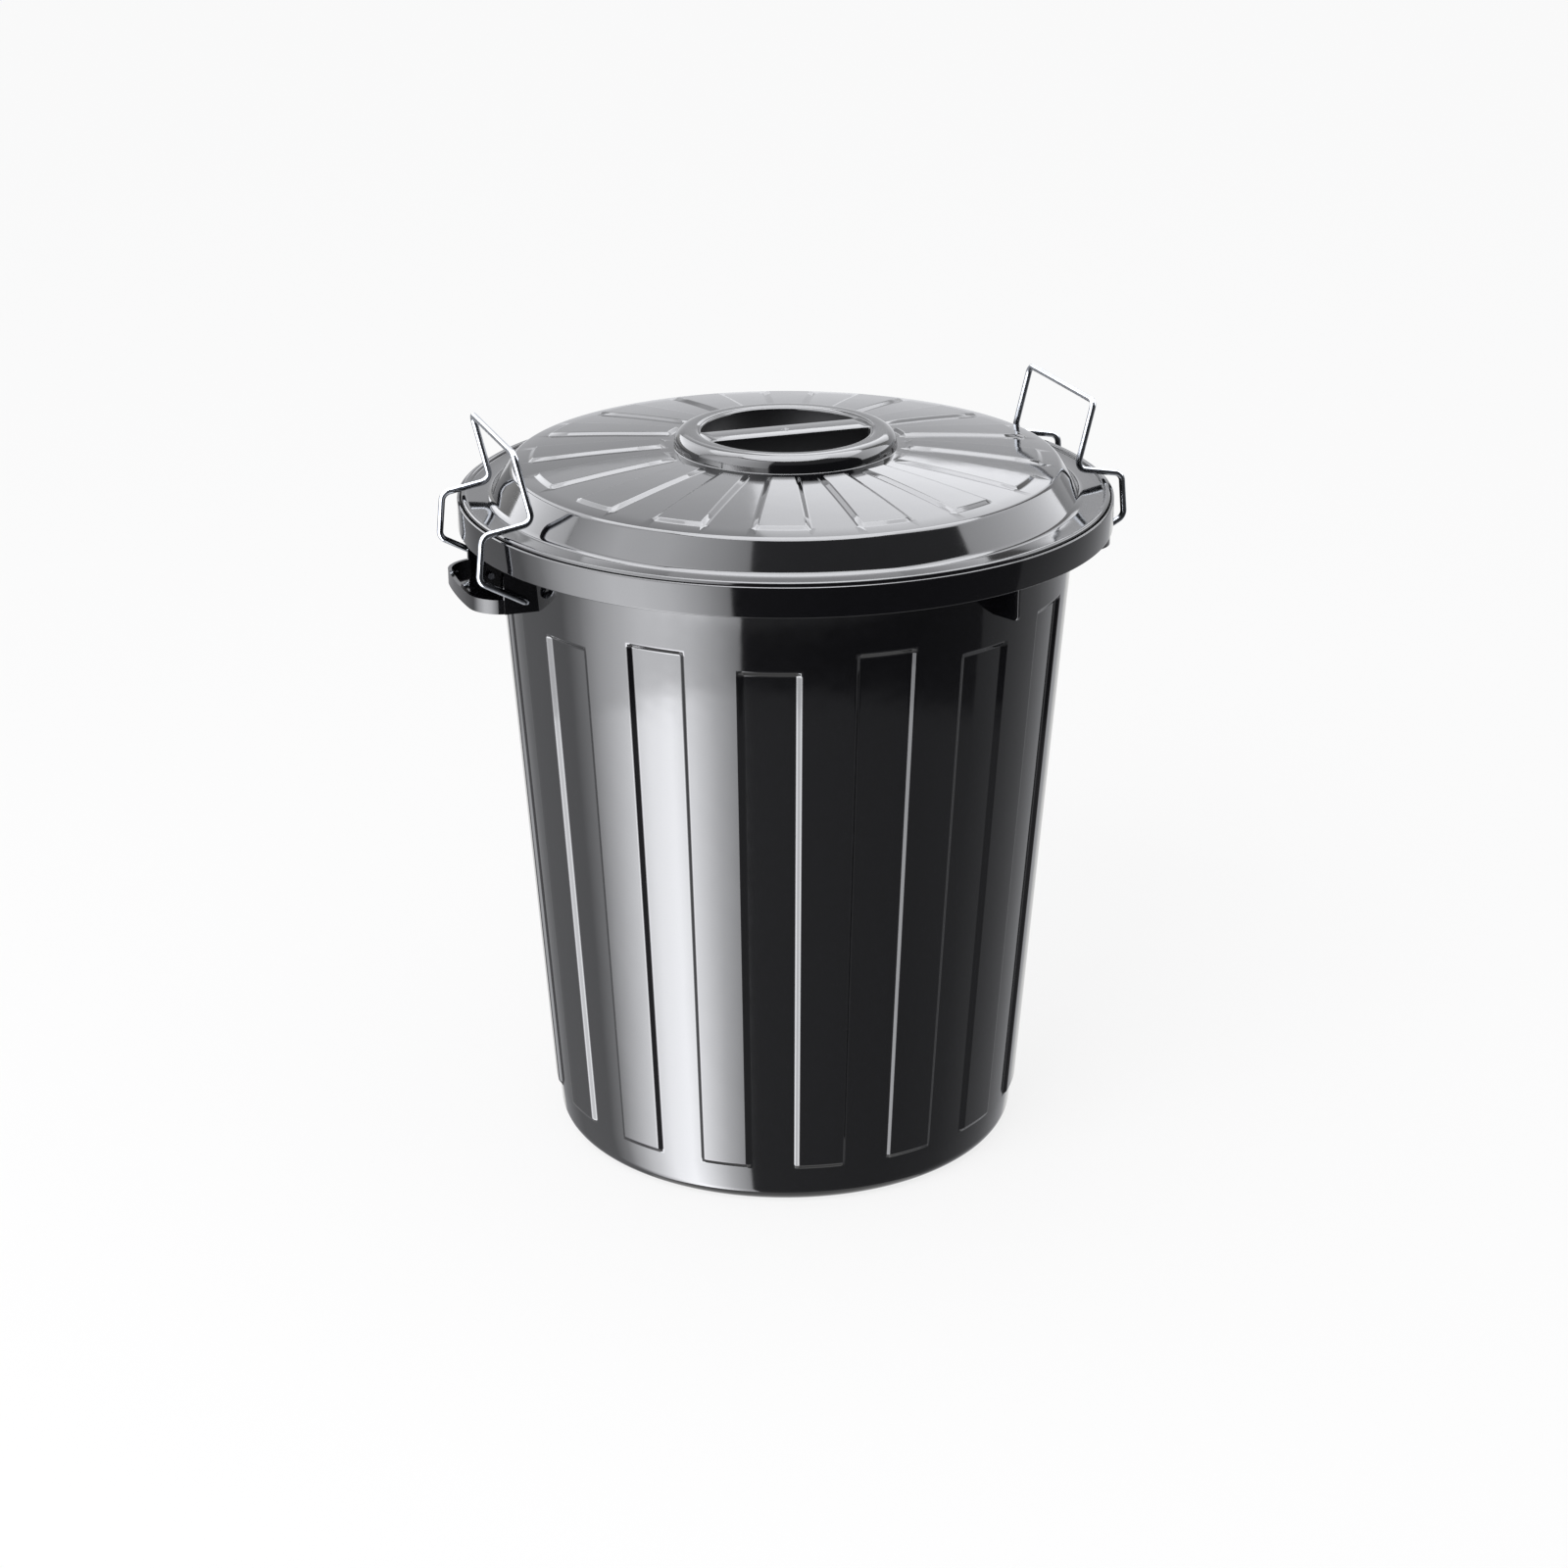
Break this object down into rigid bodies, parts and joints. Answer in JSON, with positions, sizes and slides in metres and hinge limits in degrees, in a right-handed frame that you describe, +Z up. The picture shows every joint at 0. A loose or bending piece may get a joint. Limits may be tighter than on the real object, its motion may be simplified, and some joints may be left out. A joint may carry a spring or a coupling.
{
  "type": "lidded bin",
  "caption": "Round tapered floor bin with a domed lift-off lid, held shut by bent wire clips that swing over the lid's flange.",
  "frame": {"origin": "centre of the foot, on the floor", "axes": "+Z up along the bin's axis, +X towards the right grip and its clip"},
  "size_m": [0.479, 0.46, 0.537],
  "materials": {
    "black_plastic": "high gloss",
    "plated_wire": "bright zinc plating"
  },
  "bodies": {
    "can": {"can_tub": "black_plastic", "can_rim": "black_plastic", "can_grip_left": "black_plastic", "can_grip_right": "black_plastic", "can_rib_front": "black_plastic", "can_rib_back": "black_plastic"},
    "lid": {"lid_flange": "black_plastic", "lid_crown": "black_plastic", "lid_grip": "black_plastic"},
    "clip_left": {"clip_left": "plated_wire"},
    "clip_right": {"clip_right": "plated_wire"}
  },
  "joints": [
    {"name": "clip_right_swing", "type": "hinge", "parent": "can", "child": "clip_right", "pos_m": [0.2035, 0, 0.431], "axis": [0, 1, 0], "range_deg": [0, 128]},
    {"name": "clip_left_swing", "type": "hinge", "parent": "can", "child": "clip_left", "pos_m": [-0.2035, 0, 0.431], "axis": [0, -1, 0], "range_deg": [0, 128]},
    {"name": "lid_turn", "type": "hinge", "parent": "can", "child": "lid", "pos_m": [0, 0, 0.475], "axis": [0, 0, 1], "continuous": true}
  ]
}
